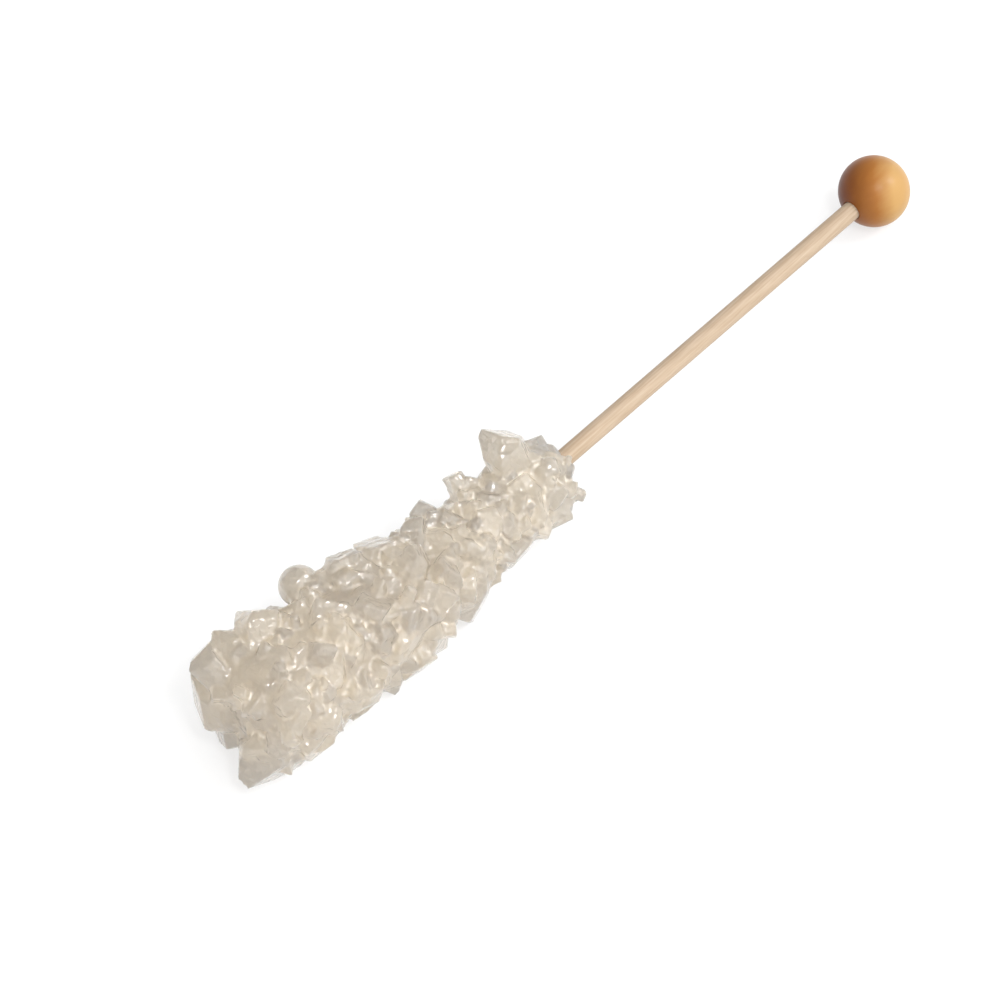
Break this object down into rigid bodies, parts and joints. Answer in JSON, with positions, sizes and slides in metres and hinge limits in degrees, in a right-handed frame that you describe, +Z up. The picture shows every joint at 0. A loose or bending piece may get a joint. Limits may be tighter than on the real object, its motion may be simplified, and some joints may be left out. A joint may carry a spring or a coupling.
{
  "type": "rock candy stick",
  "caption": "Cluster of milky clear sugar crystals grown on one end of a round wooden stick, with a wooden ball on the other end, lying down.",
  "frame": {"origin": "on the table under the middle of the whole object's bounding box", "axes": "+X along the stick from the candy towards the wooden ball, +Z up"},
  "size_m": [0.1656, 0.027, 0.0239],
  "materials": {
    "ball_wood": "varnished",
    "stick_wood": "bare, sanded",
    "sugar": "milky, glossy crystal faces"
  },
  "bodies": {
    "root": {"ball": "ball_wood", "stick": "stick_wood", "crystals": "sugar"}
  },
  "joints": []
}
